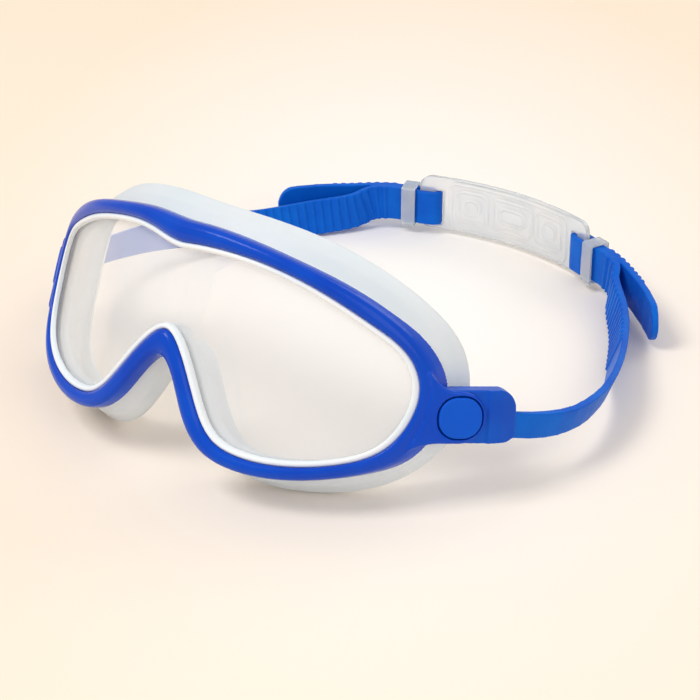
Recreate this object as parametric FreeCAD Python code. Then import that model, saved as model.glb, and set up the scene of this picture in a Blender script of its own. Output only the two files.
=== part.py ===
import FreeCAD, Part
import math
import os

from FreeCAD import Matrix, Placement, Rotation, Vector

# Wide one-lens swim goggles, resting on a floor with the mask leaning back.
# The mask is modelled upright, x to the wearer's left, y backwards, z up, with its
# origin at the top of the nose notch. It is then leaned back onto its skirt.

# Wrap of the mask: its front lies WRAP_2 x^2 + WRAP_4 x^4 behind the centre line.
WRAP_2 = 4.2444e-3
WRAP_4 = 2.1287e-7
WRAP_REACH = 110.0
MASK_LEAN = 22.98
# Whole part tipped back onto the lower edges of its straps, in degrees.
SETTLE = 1.0

# Right half of three matching outlines as (x, z), from the brow round to the nose.
OPENING = [(0, 26.5), (15, 28), (32.7, 27.2), (47.5, 23.8), (61, 18.4), (70.6, 12.0),
           (74.5, 4.0), (74.3, -7.0), (70.2, -17.2), (59.8, -25.2), (47.0, -29.6),
           (35.0, -30.9), (24.9, -28.7), (15.6, -18.6), (7.6, -6.6), (0, 0)]
FRAME_EDGE = [(0, 33.2), (16, 33.3), (34, 31.3), (50, 28.0), (63.6, 22.4), (73.2, 14.6),
              (78.0, 5.0), (78.3, -6.5), (75.0, -17.8), (64.0, -27.4), (49.2, -33.4),
              (34.0, -35.5), (20.6, -32.4), (12.6, -24.6), (6.0, -13.8), (0, -8.6)]
SKIRT_EDGE = [(0, 39.2), (18, 39.2), (36, 37.6), (52, 33.2), (65.0, 26.2), (73.6, 17.4),
              (77.6, 6.5), (78.2, -6.0), (75.0, -17.6), (65.5, -30.4), (50.5, -37.8),
              (34.5, -40.4), (21.8, -38.2), (14.0, -29.6), (7.2, -17.6), (0, -12.4)]

# Depths behind the wrapped front surface.
FRAME_BACK = 7.8
LIP_BACK = 2.0
GASKET_BACK = 3.2
LENS_FRONT = 3.25
LENS_BACK = 5.25
FLANGE_BACK = 6.5
SKIRT_BACK = 22.4
POCKET = 0.70
SEAT_GAP = 0.05
RING_ARCS = 6

# Lug at the temple: its own frame has u along the strap, v up and w out of the face.
LUG_CENTRE = (85.1, 41.0, -2.7)
LUG_ANGLE = 48.5
LUG_RISE = 11.0
LUG_R = 8.1
LUG_TOP_FLANK = [(-10.0, 14.2), (-6.0, 9.9), (-1.0, LUG_R)]
LUG_LOW_FLANK = [(-15.5, -10.6), (-10.0, -8.5), (-5.0, -LUG_R)]
LUG_ROOT_END = -8.9
LUG_T = 4.0
LUG_PLATE = 1.3

# Quick-release button: a rounded square cap on an off-centre stem with a foot.
BUTTON_W = 13.4
BUTTON_H = 12.6
BUTTON_CORNER = 5.8
BUTTON_GAP = 0.35
BUTTON_PROUD = 0.5
CAP_T = 1.3
STEM_U = 2.0
STEM_R = 2.4
FOOT_R = 3.4
FOOT_T = 0.7
PRESS = 1.5
RUN_GAP = 0.3
LEAF_T = 0.3
LEAF_W = 2.4
LEAF_HALF = 3.4

# Clip behind the lug's plate: it carries the button and the strap's front end.
CLIP_FRONT = -1.5
CLIP_FLOOR = BUTTON_PROUD - CAP_T - PRESS - RUN_GAP
CLIP_FLOOR_T = 0.8
FOOT_TOP = CLIP_FLOOR - CLIP_FLOOR_T - RUN_GAP
CHAMBER_R = 3.8
CHAMBER_BACK = FOOT_TOP - FOOT_T - PRESS - LEAF_T - RUN_GAP
COVER_R = 4.6
COVER_T = 0.8
CLIP_BACK = CHAMBER_BACK - COVER_T
CLIP_SLOPE = 1.135
CLIP_START = -8.4
CLIP_END = 18.4
CLIP_TOP = 8.2
CLIP_LOW = -8.2
PIN_R = 0.8
PIN_HALF = 3.6
PIN_PLACE = (14.4, -2.6, -4.3)

# Strap: a flat band, narrow and plain in front, wide and ribbed behind.
STRAP_T = 2.3
STRAP_W = 13.3
RIB_H = 0.6
RIB_PITCH = 3.3
RIB_FORM = [(0.0, 0.0), (0.12, RIB_H), (0.55, RIB_H), (0.67, 0.0)]
FIRST_RIB = 89.0
PLAIN_STEP = 6.0

# Strap centre line from clip to keeper: (x, y, z, width, lean outwards in degrees).
STRAP_RUN = [(91.3, 48.6, -23.4, 8.0, -13), (93.1, 52.9, -25.1, 8.0, -13),
             (99.4, 74.4, -30.9, 8.7, 14),
             (98.4, 93.1, -33.0, 10.3, 22), (93.1, 110.4, -34.8, 12.0, 20),
             (85.2, 127.0, -37.6, 13.2, 20), (76.9, 142.4, -38.8, 13.3, 19),
             (68.0, 156.1, -38.0, 13.3, 14), (57.6, 169.8, -36.2, 13.3, 6)]
TAIL_RUN = [(60.5, 174.6, -35.0, 13.4, 0), (71.0, 166.6, -35.6, 13.8, 0),
            (80.0, 158.4, -36.2, 13.8, 0), (84.6, 153.2, -36.5, 13.8, 0)]
TAIL_TIP_R = 6.5
TIP_STEPS = 6

# Back plate: a clear curved plate; the strap folds round the bar beyond each slot.
PLATE_R = 100.0
PLATE_BACK_Y = 191.0
PLATE_T = 2.2
PLATE_HALF = 37.8
PLATE_TOP = -21.3
PLATE_BOTTOM = -42.6
PLATE_CORNER = 4.0
PLATE_EDGE_R = 0.5
SLOT_IN = 29.1
SLOT_GAP = 0.4
BAR_X = 33.2
STRAP_Z = -33.9

# Fold round the bar: the strap's two layers run on beside each other at FOLD_ANGLE.
FOLD_ANGLE = 20.8
FOLD_GAP = 0.15
FOLD_R = (PLATE_T + STRAP_T) / 2 + FOLD_GAP
FOLD_STEPS = 8
LAYERS = STRAP_T / 2 + 0.05
LAYERS_PART = 5.1
LAYERS_MEET = 7.2

# Keeper: a clear square ring round the strap and its tail, free to slide.
KEEPER_L = 5.5
KEEPER_WALL = 0.9
KEEPER_GAP = 0.3
KEEPER_AT = 9.2
KEEPER_SLIDE = 2.5
STRAIGHT_END = KEEPER_AT + KEEPER_L / 2 + KEEPER_SLIDE + 0.2


def bow(x):
    """Depth of the wrapped front surface at x."""
    return WRAP_2 * x ** 2 + WRAP_4 * x ** 4


def outline(share, grow=0.0):
    """Closed (x, z) outline: share 0 is the opening, 1 the frame's edge, 2 the skirt's."""
    low, high = (OPENING, FRAME_EDGE) if share <= 1 else (FRAME_EDGE, SKIRT_EDGE)
    blend = share if share <= 1 else share - 1
    half = [(a + (c - a) * blend, b + (d - b) * blend) for (a, b), (c, d) in zip(low, high)]
    points = half + [(-x, z) for x, z in reversed(half[1:-1])]
    if not grow:
        return points
    grown = []
    for i, (x, z) in enumerate(points):
        before = points[i - 1]
        after = points[(i + 1) % len(points)]
        dx, dz = after[0] - before[0], after[1] - before[1]
        length = math.hypot(dx, dz)
        grown.append((x - grow * dz / length, z + grow * dx / length))
    return grown


def ring_wire(share, grow, depth):
    """The outline laid on the wrapped surface, depth behind its front, in equal arcs."""
    spline = Part.BSplineCurve()
    points = [Vector(x, bow(x) + depth, z) for x, z in outline(share, grow)]
    spline.interpolate(points, PeriodicFlag=True)
    step = len(points) // RING_ARCS
    cuts = [spline.FirstParameter]
    cuts += [spline.parameter(points[i]) for i in range(step, len(points), step)]
    cuts.append(spline.LastParameter)
    return Part.Wire([spline.toShape(a, b) for a, b in zip(cuts, cuts[1:])])


def ring(sections):
    """A solid ring whose cross-section is the closed list of (share, grow, depth)."""
    wires = [ring_wire(*section) for section in sections]
    shell = Part.makeLoft(wires, False, True, True)
    solid = Part.Solid(Part.Shell(shell.Faces))
    if solid.Volume < 0:
        solid.reverse()
    return solid


def wrap_curve(depth):
    """The wrap in plan as an exact quartic Bezier curve."""
    square = [1, 0, -1 / 3, 0, 1]
    fourth = [1, -1, 1, -1, 1]
    reach = WRAP_REACH
    poles = []
    for k in range(5):
        y = WRAP_2 * reach ** 2 * square[k] + WRAP_4 * reach ** 4 * fourth[k]
        poles.append(Vector(reach * (k / 2 - 1), y + depth, 0))
    curve = Part.BezierCurve()
    curve.setPoles(poles)
    return curve.toShape()


def wrapped_slab(front, back, half_height=60.0):
    """The space between two depths of the wrapped surface."""
    near, far = wrap_curve(front), wrap_curve(back)
    ends = [Part.makeLine(near.Vertexes[k].Point, far.Vertexes[k].Point) for k in (0, 1)]
    face = Part.Face(Part.Wire([near, ends[1], far, ends[0]]))
    face.translate(Vector(0, 0, -half_height))
    return face.extrude(Vector(0, 0, 2 * half_height))


def outline_prism(share):
    """The outline carried straight back through the mask."""
    spline = Part.BSplineCurve()
    points = [Vector(x, -10, z) for x, z in outline(share)]
    spline.interpolate(points, PeriodicFlag=True)
    return Part.Face(Part.Wire(spline.toShape())).extrude(Vector(0, 90, 0))


def make_lens():
    return outline_prism(0.6).common(wrapped_slab(LENS_FRONT, LENS_BACK))


def make_rim():
    """Hard frame: a rounded rim with a lip in front and a pocket behind it."""
    return ring([
        (0.0, 0, 1.0), (0.16, 0, 0.0), (0.42, 0, -0.4), (0.72, 0, -0.1), (0.93, 0, 1.0),
        (1.0, 0, 3.0), (1.0, 0, FRAME_BACK), (POCKET, 0, FRAME_BACK),
        (POCKET, 0, LIP_BACK), (0.0, 0, LIP_BACK)])


def make_gasket():
    """Soft seal: a bead round the window and a flange between lip and lens."""
    top = LIP_BACK + SEAT_GAP
    return ring([
        (0, -0.1, top), (0, -0.2, 1.1), (0, -1.0, 0.7), (0, -1.8, 1.2), (0, -2.1, GASKET_BACK),
        (POCKET - 0.04, 0, GASKET_BACK), (POCKET - 0.04, 0, top)])


def make_skirt():
    """Soft skirt: a flange behind the lens, a flared wall and an inturned sealing lip."""
    front = LENS_BACK + SEAT_GAP
    return ring([
        (0.62, 0, front), (0.62, 0, FLANGE_BACK), (0.12, 0, FLANGE_BACK), (0.12, 0, 8.2),
        (0.7, 0, 11.2), (1.5, 0, 14.2), (2.0, 0, 19.2), (1.95, -0.3, 21.6),
        (1.8, -1.0, SKIRT_BACK), (1.1, -1.2, 22.2), (0.5, -1.2, 21.2), (0.9, -1.8, 20.6),
        (1.6, -1.8, 20.3), (1.9, -1.4, 18.8), (1.4, -1.2, 15.2), (0.6, -1.1, 12.2),
        (0.0, -1.9, 9.6), (0.0, -2.0, front)])


def make_retainer():
    """Rear ring, pressed into the pocket, which holds skirt, lens and seal in place."""
    front = FLANGE_BACK + SEAT_GAP
    inner, outer = 0.22, POCKET - 0.03
    return ring([(outer, 0, front), (outer, 0, FRAME_BACK), (inner, 0, FRAME_BACK),
                 (inner, 0, front)])


def lug_place():
    """Placement that takes (u, v, w) to the mask's own frame."""
    c, s = math.cos(math.radians(LUG_ANGLE)), math.sin(math.radians(LUG_ANGLE))
    x, y, z = LUG_CENTRE
    face = Placement(Matrix(c, 0, s, x, s, 0, -c, y, 0, 1, 0, z, 0, 0, 0, 1))
    return face.multiply(Placement(Vector(), Rotation(Vector(0, 0, 1), LUG_RISE)))


def prism_uv(edges, low, high):
    """Extrudes a closed (u, v) outline from w = low to w = high."""
    face = Part.Face(Part.Wire(Part.__sortEdges__(edges)))
    face.translate(Vector(0, 0, low))
    return face.extrude(Vector(0, 0, high - low))


def box_uvw(u0, u1, v0, v1, w0, w1):
    return Part.makeBox(u1 - u0, v1 - v0, w1 - w0, Vector(u0, v0, w0))


def rod_w(radius, low, high, u=0.0, v=0.0):
    return Part.makeCylinder(radius, high - low, Vector(u, v, low))


def rounded_square(width, height, corner, low, high):
    """Rounded square about the lug's centre, as the button's cap and window."""
    block = box_uvw(-width / 2, width / 2, -height / 2, height / 2, low, high)
    upright = [e for e in block.Edges if abs(e.tangentAt(e.FirstParameter).z) > 0.9]
    return block.makeFillet(corner, upright)


def lug_body():
    """Round-ended plate with concave flanks, on a thick root that runs into the rim."""
    top = [Vector(u, v, 0) for u, v in LUG_TOP_FLANK]
    low = [Vector(u, v, 0) for u, v in LUG_LOW_FLANK]
    edges = [Part.Arc(*top).toShape(), Part.Arc(*low).toShape(),
             Part.makeLine(top[2], Vector(0, LUG_R, 0)),
             Part.makeLine(low[2], Vector(0, -LUG_R, 0)),
             Part.Arc(Vector(0, LUG_R, 0), Vector(LUG_R, 0, 0),
                      Vector(0, -LUG_R, 0)).toShape(),
             Part.makeLine(top[0], low[0])]
    body = prism_uv(edges, -LUG_T, 0)
    rounded = [e for e in body.Edges if e.BoundBox.ZMin > -0.01 and e.BoundBox.XMax > -5.5]
    body = body.makeFillet(0.9, rounded)
    return body.cut(box_uvw(LUG_ROOT_END, LUG_R + 1, -20, 20, -LUG_T - 1, -LUG_PLATE))


def window(low, high):
    """Space for the button's cap, in the lug's plate and in the clip's face."""
    return rounded_square(BUTTON_W + 2 * BUTTON_GAP, BUTTON_H + 2 * BUTTON_GAP,
                          BUTTON_CORNER + BUTTON_GAP, low, high)


def make_frame():
    """Rim and both lugs in one moulding."""
    lug = lug_body().cut(window(-LUG_PLATE - 1, 2.0))
    lug.Placement = lug_place()
    lug = lug.cut(outline_prism(0.9))
    return make_rim().multiFuse([lug, mirrored(lug)])


def make_button():
    """Cap in the lug's window, with a stem through the clip's floor and a foot below."""
    top = BUTTON_PROUD
    cap = rounded_square(BUTTON_W, BUTTON_H, BUTTON_CORNER, top - CAP_T, top)
    rim = [e for e in cap.Edges if e.BoundBox.ZMin > top - 0.01]
    stem = rod_w(STEM_R, FOOT_TOP - 0.1, top - CAP_T + 0.1, STEM_U)
    foot = rod_w(FOOT_R, FOOT_TOP - FOOT_T, FOOT_TOP, STEM_U)
    return cap.makeFillet(0.5, rim).multiFuse([stem, foot])


def make_button_spring():
    """Arched leaf between the clip's back cover and the button's foot."""
    start = STEM_U - LEAF_W / 2
    foot = CHAMBER_BACK + SEAT_GAP
    crown = FOOT_TOP - FOOT_T - SEAT_GAP
    arcs = [Part.Arc(Vector(start, -LEAF_HALF, foot + rise),
                     Vector(start, 0, crown - LEAF_T + rise),
                     Vector(start, LEAF_HALF, foot + rise)).toShape()
            for rise in (0, LEAF_T)]
    ends = [Part.makeLine(*(arc.Vertexes[k].Point for arc in arcs)) for k in (0, 1)]
    face = Part.Face(Part.Wire(Part.__sortEdges__(arcs + ends)))
    return face.extrude(Vector(LEAF_W, 0, 0))


def clip_side():
    """Side of the clip: straight in front, rounded above and chamfered below behind."""
    corners = [Vector(CLIP_END, 1.4, 0), Vector(CLIP_END, -6.8, 0), Vector(15.6, CLIP_LOW, 0),
               Vector(CLIP_START - 1, CLIP_LOW, 0), Vector(CLIP_START - 1, CLIP_TOP, 0),
               Vector(13.0, CLIP_TOP, 0)]
    edges = [Part.makeLine(a, b) for a, b in zip(corners, corners[1:])]
    edges.append(Part.Arc(corners[-1], Vector(16.8, 5.9, 0), corners[0]).toShape())
    return edges


def clip_plan():
    """Plan of the clip: slanted along the rim, flat behind the lug, turned in behind."""
    slant = CLIP_START + (CLIP_FRONT - CLIP_BACK - 1.2) * CLIP_SLOPE
    outline_uw = [(CLIP_START, CLIP_FRONT), (LUG_R + 0.5, CLIP_FRONT), (LUG_R + 1.2, -0.9),
                  (13.2, -1.7), (CLIP_END + 0.8, -4.2), (CLIP_END - 0.5, -7.9),
                  (12.0, CLIP_BACK - 0.3), (slant + 1.2, CLIP_BACK), (slant, CLIP_BACK + 1.2)]
    points = [Vector(u, CLIP_LOW - 1, w) for u, w in outline_uw]
    face = Part.Face(Part.makePolygon(points + points[:1]))
    return face.extrude(Vector(0, CLIP_TOP - CLIP_LOW + 2, 0))


def make_clip():
    """Clip body: a recess for the cap, and a chamber behind it for foot and spring."""
    body = prism_uv(clip_side(), CLIP_BACK - 1, 0).common(clip_plan())
    stem_hole = rod_w(STEM_R + RUN_GAP, CLIP_BACK, 0, STEM_U)
    chamber = rod_w(CHAMBER_R, CLIP_BACK - 1, CLIP_FLOOR - CLIP_FLOOR_T, STEM_U)
    recess = rod_w(COVER_R + SEAT_GAP, CLIP_BACK - 1, CHAMBER_BACK, STEM_U)
    return body.cut(window(CLIP_FLOOR, 1)).cut(stem_hole.multiFuse([chamber, recess]))


def make_cover():
    """Round plug that closes the chamber from behind."""
    return rod_w(COVER_R, CLIP_BACK, CHAMBER_BACK - SEAT_GAP, STEM_U)


def make_pin():
    """Pin through the strap's front end, inside the clip."""
    u, v, w = PIN_PLACE
    return Part.makeCylinder(PIN_R, 2 * PIN_HALF, Vector(u, v - PIN_HALF, w), Vector(0, 1, 0))


def band_section(centre, along, width, lean, rib=0.0):
    """Rectangle across the strap; a rib thickens its inner face."""
    up = Vector(0, 0, 1)
    up = (up - along * along.dot(up)).normalize()
    out = along.cross(up)
    turn = math.radians(lean)
    across = up * math.cos(turn) + out * math.sin(turn)
    face = out * math.cos(turn) - up * math.sin(turn)
    half, inner = STRAP_T / 2, -STRAP_T / 2 - rib
    corners = [centre + across * (a * width / 2) + face * b
               for a, b in ((1, half), (1, inner), (-1, inner), (-1, half))]
    return Part.makePolygon(corners + corners[:1])


def plan_vector(degrees):
    """Level direction at an angle from x towards the front."""
    angle = math.radians(degrees)
    return Vector(math.cos(angle), -math.sin(angle), 0)


def bar_centre():
    drop = PLATE_R - math.sqrt(PLATE_R ** 2 - BAR_X ** 2)
    return Vector(BAR_X, PLATE_BACK_Y - drop, STRAP_Z)


def fold_point(along, off):
    """Point by the end bar: along the strap's layers and off to their outer side."""
    return bar_centre() + plan_vector(FOLD_ANGLE) * along + plan_vector(FOLD_ANGLE - 90) * off


def rib_marks(length, rib_from, rib_to):
    """Distances along a run with the rib height at each."""
    marks = []
    at = 0.0
    while at < rib_from - 0.3:
        marks.append((at, 0.0))
        at += PLAIN_STEP
    start = rib_from
    while start < min(rib_to, length - RIB_PITCH):
        marks += [(start + share * RIB_PITCH, high) for share, high in RIB_FORM]
        start += RIB_PITCH
    while start < length - PLAIN_STEP / 2:
        marks.append((start, 0.0))
        start += PLAIN_STEP
    return marks + [(length, 0.0)]


def round_tip(length, radius):
    """Distances that round off a run's end, as equal steps of a quarter circle."""
    quarter = [math.pi / 2 * k / TIP_STEPS for k in range(TIP_STEPS)]
    return [(length - radius * (1 - math.sin(a)), 0.0) for a in quarter]


def run_sections(run, first_way, last_way, rib_from, rib_to, taper=0.0):
    """Sections of the strap along a smooth run of (x, y, z, width, lean) stations."""
    curve = Part.BSplineCurve()
    curve.interpolate(Points=[Vector(*p[:3]) for p in run],
                      InitialTangent=first_way, FinalTangent=last_way)
    ends = [curve.parameter(Vector(*p[:3])) for p in run]
    reach = [curve.length(curve.FirstParameter, u) if u > curve.FirstParameter else 0.0
             for u in ends]
    sections = []
    marks = rib_marks(reach[-1] - taper, rib_from, rib_to)
    if taper:
        marks = marks[:-1] + round_tip(reach[-1], taper) + [(reach[-1] - 0.02, 0.0)]
    for at, rib in marks:
        k = max(i for i in range(len(run) - 1) if reach[i] <= at + 1e-6)
        t = (at - reach[k]) / (reach[k + 1] - reach[k])
        width = run[k][3] + (run[k + 1][3] - run[k][3]) * t
        lean = run[k][4] + (run[k + 1][4] - run[k][4]) * t
        left = reach[-1] - at
        if taper and left < taper:
            width *= max(0.15, math.sqrt(1 - (1 - left / taper) ** 2))
        u = curve.parameterAtDistance(at, curve.FirstParameter)
        sections.append(band_section(curve.value(u), curve.tangent(u)[0], width, lean, rib))
    return sections


def fold_sections():
    """Sections over the bar's inner side, round its back edge and out again."""
    way = plan_vector(FOLD_ANGLE)
    ends = ((LAYERS_MEET, LAYERS), (LAYERS_PART, FOLD_R))
    sections = [band_section(fold_point(at, -off), way * -1, STRAP_W, 0) for at, off in ends]
    for k in range(FOLD_STEPS + 1):
        angle = math.pi * k / FOLD_STEPS
        centre = fold_point(-FOLD_R * math.sin(angle), -FOLD_R * math.cos(angle))
        tangent = way * -math.cos(angle) + plan_vector(FOLD_ANGLE - 90) * math.sin(angle)
        sections.append(band_section(centre, tangent, STRAP_W, 0))
    sections += [band_section(fold_point(at, off), way, STRAP_W, 0)
                 for at, off in reversed(ends)]
    return sections


def make_strap():
    """One band: clip, ribbed run, fold round the plate's end bar, ribbed tail."""
    way = plan_vector(FOLD_ANGLE)
    inner_end = tuple(fold_point(STRAIGHT_END, -LAYERS)) + (STRAP_W, 0)
    run = STRAP_RUN + [inner_end]
    start = Vector(0.37, 0.87, -0.33)
    first = run_sections(run, start, way * -1, FIRST_RIB, 999)
    tail_start = tuple(fold_point(STRAIGHT_END, LAYERS)) + (STRAP_W, 0)
    last_way = Vector(0.70, -0.71, 0)
    tail = run_sections([tail_start] + TAIL_RUN, way, last_way, 0.4, 24.0, TAIL_TIP_R)
    return Part.makeLoft(first + fold_sections() + tail, True, True)


def make_plate():
    """Curved clear plate with a slot near each end; the strap's bar has a round edge."""
    centre = Vector(0, PLATE_BACK_Y - PLATE_R, PLATE_BOTTOM - 1)
    height = PLATE_TOP - PLATE_BOTTOM
    shell = Part.makeCylinder(PLATE_R + PLATE_T / 2, height + 2, centre)
    shell = shell.cut(Part.makeCylinder(PLATE_R - PLATE_T / 2, height + 2, centre))
    front = Part.makeBox(2 * PLATE_HALF, 60, height,
                         Vector(-PLATE_HALF, PLATE_BACK_Y - 40, PLATE_BOTTOM))
    corners = [e for e in front.Edges if abs(e.tangentAt(e.FirstParameter).y) > 0.9]
    plate = shell.common(front.makeFillet(PLATE_CORNER, corners))
    slot_h = STRAP_W + 2 * SLOT_GAP
    base = bar_centre()
    for side in (1, -1):
        slot = Part.makeBox(BAR_X - SLOT_IN, 60, slot_h,
                            Vector(SLOT_IN if side > 0 else -BAR_X, PLATE_BACK_Y - 40,
                                   STRAP_Z - slot_h / 2))
        bar = Part.makeCylinder(PLATE_T / 2, slot_h, Vector(side * base.x, base.y,
                                                            STRAP_Z - slot_h / 2))
        plate = plate.cut(slot).fuse(bar)
    return plate


def make_keeper():
    """Square ring that slides along the strap's straight double stretch."""
    inner_w = STRAP_W + 2 * KEEPER_GAP
    inner_t = 2 * (LAYERS + STRAP_T / 2 + RIB_H + KEEPER_GAP)
    ring_w, ring_t = inner_w + 2 * KEEPER_WALL, inner_t + 2 * KEEPER_WALL
    solid = Part.makeBox(KEEPER_L, ring_t, ring_w, Vector(-KEEPER_L / 2, -ring_t / 2, -ring_w / 2))
    long_edges = [e for e in solid.Edges if abs(e.tangentAt(e.FirstParameter).x) > 0.9]
    solid = solid.makeFillet(KEEPER_WALL, long_edges)
    hole = Part.makeBox(KEEPER_L + 2, inner_t, inner_w,
                        Vector(-KEEPER_L / 2 - 1, -inner_t / 2, -inner_w / 2))
    solid = solid.cut(hole)
    turn = Rotation(Vector(0, 0, 1), -FOLD_ANGLE)
    solid.Placement = Placement(fold_point(KEEPER_AT, 0), turn)
    return solid


def mirrored(shape):
    return shape.mirror(Vector(0, 0, 0), Vector(1, 0, 0))


def main():
    lean = Placement(Vector(), Rotation(Vector(1, 0, 0), -MASK_LEAN))
    at_lug = lean.multiply(lug_place())
    parts = {"front_frame": make_frame(), "lens": make_lens(), "lens_gasket": make_gasket(),
             "face_skirt": make_skirt(), "skirt_retainer": make_retainer()}
    for shape in parts.values():
        shape.Placement = lean
    clip_parts = {"release_button": make_button(), "button_spring": make_button_spring(),
                  "clip_cover": make_cover(), "strap_pin": make_pin(), "clip": make_clip()}
    for shape in clip_parts.values():
        shape.Placement = at_lug
    strap = make_strap()
    fitted = [strap, clip_parts["strap_pin"], parts["front_frame"]]
    clip_parts["clip"] = clip_parts["clip"].cut(fitted)
    clip_parts["strap"] = strap.cut(clip_parts["strap_pin"])
    clip_parts["strap_keeper"] = make_keeper()
    for name, shape in clip_parts.items():
        parts["left_" + name] = shape
        parts["right_" + name] = mirrored(shape)
    parts["back_plate"] = make_plate()
    whole = Part.makeCompound(list(parts.values()))
    settle = Placement(Vector(), Rotation(Vector(1, 0, 0), -SETTLE))
    whole.Placement = settle
    box = whole.optimalBoundingBox(True, False)
    rest = Placement(Vector(0, -(box.YMin + box.YMax) / 2, -box.ZMin), settle.Rotation)
    print("size", box.XLength, box.YLength, box.ZLength, "shift", rest.Base)
    os.makedirs("parts", exist_ok=True)
    for name, shape in parts.items():
        shape.Placement = rest.multiply(shape.Placement)
        print(name, shape.isValid(), len(shape.Solids), round(shape.Volume))
        shape.exportStep("parts/" + name + ".step")


main()
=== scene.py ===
import math

import bpy
import numpy as np
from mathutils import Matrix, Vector


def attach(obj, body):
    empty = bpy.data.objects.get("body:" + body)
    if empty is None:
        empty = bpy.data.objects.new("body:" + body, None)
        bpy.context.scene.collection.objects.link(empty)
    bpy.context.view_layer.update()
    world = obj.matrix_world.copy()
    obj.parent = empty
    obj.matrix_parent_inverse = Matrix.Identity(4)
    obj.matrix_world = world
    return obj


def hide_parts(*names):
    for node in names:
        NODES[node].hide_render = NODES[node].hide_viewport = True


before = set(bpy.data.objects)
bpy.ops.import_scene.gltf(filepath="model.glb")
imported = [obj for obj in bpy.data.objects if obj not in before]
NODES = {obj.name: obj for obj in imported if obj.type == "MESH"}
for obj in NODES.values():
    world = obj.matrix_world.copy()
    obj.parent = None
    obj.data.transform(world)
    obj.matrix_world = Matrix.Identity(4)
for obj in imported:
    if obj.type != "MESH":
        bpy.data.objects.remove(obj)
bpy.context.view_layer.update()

ROOT = "goggles"
SIDES = ("left", "right")

# Camera at the photograph's viewing angle: metres, degrees and millimetres.
CAMERA_AT = (0.37412, -0.46777, 0.33103)
CAMERA_TURN = (61.0612, 0.6112, 38.3085)
CAMERA_LENS = 101.41
SENSOR_WIDTH = 36
NEAR_CLIP = 0.01

# Floor, in metres: a painted pool of light, nearly white round the object, that fades to peach.
# The glow has a middle, a turn that follows the camera's, a reach across and away from it, and
# shares where the fade runs.
FLOOR_SIZE = 8
GLOW_AT = (-0.02, 0.06, 0.0)
GLOW_TURN = math.radians(38.3)
GLOW_REACH = (0.19, 0.38, 1.0)
GLOW_FADE = (0.1, 0.95)

# Lamps as (name, place in m, size in m, power in W), and the strength of the white world.
LAMPS = [("key", (-0.5, -0.7, 1.3), 0.6, 10),
         ("fill", (1.1, -0.5, 0.8), 1.0, 4),
         ("back", (0.2, 1.2, 0.9), 0.8, 4)]
WORLD_STRENGTH = 0.56

# The mask's own origin in the frame in mm, its lean, and the wrap of its front in plan.
MASK_Y = -90.356
MASK_Z = 47.950
MASK_LEAN = math.radians(23.98)
WRAP_2 = 4.2444e-3
WRAP_4 = 2.1287e-7

# Rear of the rim: what lies more than RIM_FROM mm behind the wrap keeps only RIM_SHARE of
# its depth beyond that. It fades out over RIM_FADE mm towards the lugs.
RIM_FROM = 3.0
RIM_SHARE = 0.62
RIM_END_X = 60.0
RIM_FADE = 12.0

# Nose arch, in mm: how far its top is lowered, its half width and the height it ends at.
ARCH_DROP = 0.9
ARCH_HALF = 12.0
ARCH_BELOW = 5.0

# Back plate, in mm: the upright axis of its curve, its middle height, and the plain rims
# that are raised on it as (middle x, half width, half height). RIM_FACING keeps its edges flat.
PLATE_AXIS_Y = 0.64
PLATE_Z = 12.7
PLATE_RIMS = [(0, 26.6, 8.9), (0, 9.0, 6.2), (-17.6, 6.2, 6.2), (17.6, 6.2, 6.2),
              (-17.6, 3.0, 3.0), (17.6, 3.0, 3.0), (0, 5.6, 3.0)]
RIM_CORNER = 2.2
RIM_HALF_W = 0.65
RIM_HEIGHT = 0.4
RIM_FACING = 0.8


def colour(red, green, blue):
    """Linear colour from a display colour between 0 and 255, by the sRGB curve."""
    def linear(value):
        value /= 255
        return value / 12.92 if value <= 0.04045 else ((value + 0.055) / 1.055) ** 2.4
    return (linear(red), linear(green), linear(blue), 1.0)


# Materials
class Material:
    """A node material around one shader, with short calls for its textures."""

    def __init__(self, name, **inputs):
        self.material = bpy.data.materials.new(name)
        self.material.use_nodes = True
        self.tree = self.material.node_tree
        self.shader = self.tree.nodes["Principled BSDF"]
        self.coords = self.node("ShaderNodeTexCoord").outputs["Object"]
        for key, value in inputs.items():
            self.shader.inputs[key.replace("_", " ")].default_value = value

    def node(self, kind, **values):
        made = self.tree.nodes.new(kind)
        for key, value in values.items():
            if hasattr(made, key):
                setattr(made, key, value)
            else:
                made.inputs[key.replace("_", " ")].default_value = value
        return made

    def link(self, source, target):
        self.tree.links.new(source, target)

    def noise(self, scale, detail, stretch=(1, 1, 1)):
        place = self.node("ShaderNodeMapping", Scale=stretch)
        self.link(self.coords, place.inputs["Vector"])
        noise = self.node("ShaderNodeTexNoise", Scale=scale, Detail=detail)
        self.link(place.outputs["Vector"], noise.inputs["Vector"])
        return noise.outputs["Fac"]

    def ramp(self, source, low, high, start=0.35, stop=0.65):
        ramp = self.node("ShaderNodeValToRGB")
        ramp.color_ramp.elements[0].position = start
        ramp.color_ramp.elements[1].position = stop
        ramp.color_ramp.elements[0].color = low
        ramp.color_ramp.elements[1].color = high
        self.link(source, ramp.inputs["Fac"])
        return ramp.outputs["Color"]

    def span(self, source, low, high):
        span = self.node("ShaderNodeMapRange")
        span.inputs["To Min"].default_value = low
        span.inputs["To Max"].default_value = high
        self.link(source, span.inputs["Value"])
        return span.outputs["Result"]

    def tint(self, source, low, high):
        self.link(self.ramp(source, low, high), self.shader.inputs["Base Color"])

    def roughen(self, source, low, high):
        self.link(self.span(source, low, high), self.shader.inputs["Roughness"])

    def bump(self, source, height, strength):
        bump = self.node("ShaderNodeBump", Strength=strength, Distance=height)
        self.link(source, bump.inputs["Height"])
        self.link(bump.outputs["Normal"], self.shader.inputs["Normal"])


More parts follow.
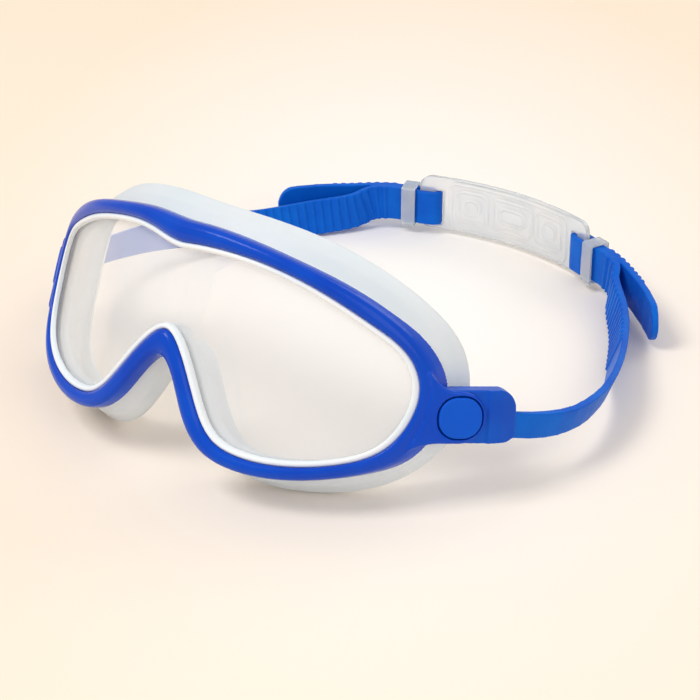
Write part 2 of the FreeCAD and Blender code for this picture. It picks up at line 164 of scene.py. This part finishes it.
def moulded_blue(name, low, high, rough, coat=0.0):
    """Moulded plastic: slight drifts of tone, uneven gloss and a faint orange peel."""
    made = Material(name, IOR=1.5, Specular_IOR_Level=0.16, Coat_Weight=coat,
                    Coat_Roughness=0.1, Coat_IOR=1.35)
    made.tint(made.noise(55, 2), low, high)
    made.roughen(made.noise(240, 4), rough - 0.04, rough + 0.05)
    made.bump(made.noise(900, 2), 0.00002, 0.35)
    return made.material


def soft_blue(name, low, high):
    """Strap silicone: matt, with slight drifts of tone and a fine dust-like grain."""
    made = Material(name, IOR=1.42, Specular_IOR_Level=0.15, Sheen_Weight=0.02,
                    Sheen_Roughness=0.5)
    made.tint(made.noise(70, 3), low, high)
    made.roughen(made.noise(500, 5), 0.36, 0.52)
    made.bump(made.noise(2600, 3), 0.00003, 0.5)
    return made.material


def frosted(name, low, high, see_through, rough=0.45):
    """Frosted clear silicone: part of the light goes through, the rest is scattered."""
    made = Material(name, IOR=1.41, Transmission_Weight=see_through)
    made.tint(made.noise(40, 3), low, high)
    made.roughen(made.noise(420, 4), rough - 0.06, rough + 0.06)
    made.bump(made.noise(1600, 2), 0.00003, 0.3)
    return made.material


def clear_hard(name, tint, rough, haze):
    """Clear moulded plastic with a little haze, uneven gloss and waves from moulding."""
    made = Material(name, IOR=1.49, Transmission_Weight=1.0 - haze)
    made.tint(made.noise(60, 2), tint, (1, 1, 1, 1))
    made.roughen(made.noise(300, 4), rough, rough + 0.08)
    made.bump(made.noise(150, 2), 0.0001, 0.25)
    return made.material


def steel(name):
    """Bright steel with drawing marks."""
    made = Material(name, Metallic=1.0)
    made.tint(made.noise(300, 4, (1, 1, 8)), (0.45, 0.46, 0.48, 1), (0.72, 0.73, 0.75, 1))
    made.roughen(made.noise(800, 3, (1, 1, 12)), 0.2, 0.4)
    return made.material


def lens_painted_reflection(name):
    """Clear lens with a thin white veil that is a painted reflection of the white studio, which
    most of the light passes.
    """
    made = Material(name, IOR=1.49, Transmission_Weight=0.3, Alpha=0.34)
    # Painted reflection: the near-white base colour stands in for the white studio reflected on
    # the lens.
    made.tint(made.noise(12, 2), (0.96, 0.97, 0.98, 1), (0.99, 0.99, 1, 1))
    made.roughen(made.noise(90, 3), 0.0, 0.03)
    return made.material


BLUE = moulded_blue("frame_blue", colour(0, 66, 190), colour(0, 76, 200), 0.24, 0.2)
BUTTON_BLUE = moulded_blue("button_blue", colour(0, 82, 204), colour(0, 90, 210), 0.5)
CLIP_BLUE = moulded_blue("clip_blue", colour(0, 76, 192), colour(6, 90, 202), 0.36, 0.1)
STRAP_BLUE = soft_blue("strap_blue", colour(0, 88, 198), colour(0, 102, 208))
SKIRT = frosted("skirt_silicone", colour(243, 250, 253), colour(249, 253, 255), 0.25)
SEAL = frosted("seal_silicone", colour(242, 250, 255), colour(250, 253, 255), 0.05, 0.3)
PLATE = clear_hard("plate_clear", colour(244, 248, 251), 0.06, 0.4)
CLEAR = clear_hard("keeper_clear", colour(226, 238, 250), 0.06, 0.34)
LENS = lens_painted_reflection("lens_painted_reflection")
STEEL = steel("bright_steel")


# Pieces
def dress(piece, material):
    piece.data.materials.clear()
    piece.data.materials.append(material)


def moulded(node, body, material, voxel, smooth):
    """Piece in the node's shape with its facets gone and its edges rounded as moulded."""
    piece = bpy.data.objects.new("shaped_" + node, NODES[node].data.copy())
    bpy.context.scene.collection.objects.link(piece)
    remesh = piece.modifiers.new("remesh", "REMESH")
    remesh.mode = "VOXEL"
    remesh.voxel_size = voxel
    soften = piece.modifiers.new("soften", "SMOOTH")
    soften.factor = 0.5
    soften.iterations = smooth
    graph = bpy.context.evaluated_depsgraph_get()
    mesh = bpy.data.meshes.new_from_object(piece.evaluated_get(graph))
    piece.modifiers.clear()
    piece.data = mesh
    for polygon in mesh.polygons:
        polygon.use_smooth = True
    dress(piece, material)
    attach(piece, body)
    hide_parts(node)
    return piece


def smooth_step(value, low, high):
    share = np.clip((value - low) / (high - low), 0, 1)
    return share * share * (3 - 2 * share)


def read_points(piece):
    """The piece's points, in mm, one row each."""
    points = np.empty(len(piece.data.vertices) * 3)
    piece.data.vertices.foreach_get("co", points)
    return points.reshape(-1, 3) * 1000


def write_points(piece, points):
    piece.data.vertices.foreach_set("co", (points / 1000).ravel())
    piece.data.update()


def fit_mask(piece, rim):
    """Lower the nose arch a little and, where rim is true, draw the rear edge forward."""
    points = read_points(piece)
    across, y, z = points[:, 0], points[:, 1] - MASK_Y, points[:, 2] - MASK_Z
    cos, sin = math.cos(MASK_LEAN), math.sin(MASK_LEAN)
    wrap = WRAP_2 * across ** 2 + WRAP_4 * across ** 4
    depth, up = y * cos - z * sin - wrap, y * sin + z * cos
    if rim:
        share = 1 - smooth_step(np.abs(across), RIM_END_X, RIM_END_X + RIM_FADE)
        beyond = np.maximum(depth - RIM_FROM, 0)
        depth = depth - beyond * (1 - RIM_SHARE) * share
    near = np.clip(np.abs(across) / ARCH_HALF, 0, 1)
    up = up - ARCH_DROP * np.cos(near * math.pi / 2) ** 2 * (up < ARCH_BELOW)
    back = depth + wrap
    points[:, 1] = back * cos + up * sin + MASK_Y
    points[:, 2] = -back * sin + up * cos + MASK_Z
    write_points(piece, points)


def emboss_plate(piece):
    """Raise plain rounded rims on both faces of the back plate."""
    points = read_points(piece)
    normals = np.empty(points.size)
    piece.data.vertices.foreach_get("normal", normals)
    normals = normals.reshape(-1, 3)
    raised = np.zeros(len(points))
    for middle, half_w, half_h in PLATE_RIMS:
        over_x = np.abs(points[:, 0] - middle) - half_w + RIM_CORNER
        over_z = np.abs(points[:, 2] - PLATE_Z) - half_h + RIM_CORNER
        outside = np.hypot(np.maximum(over_x, 0), np.maximum(over_z, 0))
        edge = outside + np.minimum(np.maximum(over_x, over_z), 0) - RIM_CORNER
        raised = np.maximum(raised, 1 - smooth_step(np.abs(edge), 0, RIM_HALF_W))
    radial = points - np.array([0, PLATE_AXIS_Y, 0])
    radial[:, 2] = 0
    radial /= np.linalg.norm(radial, axis=1)[:, None]
    facing = np.sum(normals * radial, axis=1)
    points += radial * (facing * (np.abs(facing) > RIM_FACING) * raised * RIM_HEIGHT)[:, None]
    write_points(piece, points)


fit_mask(moulded("front_frame", ROOT, BLUE, 0.00035, 6), True)
fit_mask(moulded("skirt_retainer", ROOT, CLEAR, 0.0003, 3), True)
fit_mask(moulded("lens_gasket", ROOT, SEAL, 0.0003, 5), False)
fit_mask(moulded("face_skirt", ROOT, SKIRT, 0.0004, 8), False)
emboss_plate(moulded("back_plate", ROOT, PLATE, 0.0003, 3))
for side in SIDES:
    moulded(side + "_strap", ROOT, STRAP_BLUE, 0.0003, 4)
    moulded(side + "_clip", ROOT, CLIP_BLUE, 0.0003, 5)
    moulded(side + "_release_button", side + "_button", BUTTON_BLUE, 0.00025, 4)
    moulded(side + "_strap_keeper", side + "_keeper", CLEAR, 0.0002, 3)
    dress(NODES[side + "_clip_cover"], CLIP_BLUE)
    dress(NODES[side + "_button_spring"], STEEL)
    dress(NODES[side + "_strap_pin"], STEEL)
dress(NODES["lens"], LENS)


# Stage
def make_camera():
    data = bpy.data.cameras.new("camera")
    data.lens = CAMERA_LENS
    data.sensor_width = SENSOR_WIDTH
    data.clip_start = NEAR_CLIP
    camera = bpy.data.objects.new("camera", data)
    camera.location = CAMERA_AT
    camera.rotation_euler = [math.radians(turn) for turn in CAMERA_TURN]
    bpy.context.scene.collection.objects.link(camera)
    bpy.context.scene.camera = camera


def make_floor():
    """Pale floor with a painted pool of light: nearly white round the object and peach further
    out.
    """
    bpy.ops.mesh.primitive_plane_add(size=FLOOR_SIZE)
    floor = bpy.context.object
    floor.name = "floor"
    made = Material("floor_paint", Roughness=0.9, Specular_IOR_Level=0.1)
    place = made.node("ShaderNodeMapping", vector_type="TEXTURE", Location=GLOW_AT,
                      Rotation=(0, 0, GLOW_TURN), Scale=GLOW_REACH)
    made.link(made.coords, place.inputs["Vector"])
    size = made.node("ShaderNodeVectorMath", operation="LENGTH")
    made.link(place.outputs["Vector"], size.inputs[0])
    # Painted light: the floor colour is paler round the object, as a pool of light would make
    # it.
    tone = made.ramp(size.outputs["Value"], colour(254, 249, 243), colour(254, 234, 211),
                     *GLOW_FADE)
    made.link(tone, made.shader.inputs["Base Color"])
    dress(floor, made.material)


def add_lamp(name, place, size, energy):
    """White square lamp that faces the middle of the floor."""
    data = bpy.data.lights.new(name, "AREA")
    data.size = size
    data.energy = energy
    lamp = bpy.data.objects.new(name, data)
    lamp.location = place
    lamp.rotation_euler = (-Vector(place)).to_track_quat("-Z", "Y").to_euler()
    bpy.context.scene.collection.objects.link(lamp)


def make_world():
    world = bpy.data.worlds.new("studio")
    bpy.context.scene.world = world
    world.use_nodes = True
    background = world.node_tree.nodes["Background"]
    background.inputs["Color"].default_value = (1, 1, 1, 1)
    background.inputs["Strength"].default_value = WORLD_STRENGTH


make_camera()
make_floor()
for lamp in LAMPS:
    add_lamp(*lamp)
make_world()
bpy.context.scene.view_settings.view_transform = "Standard"
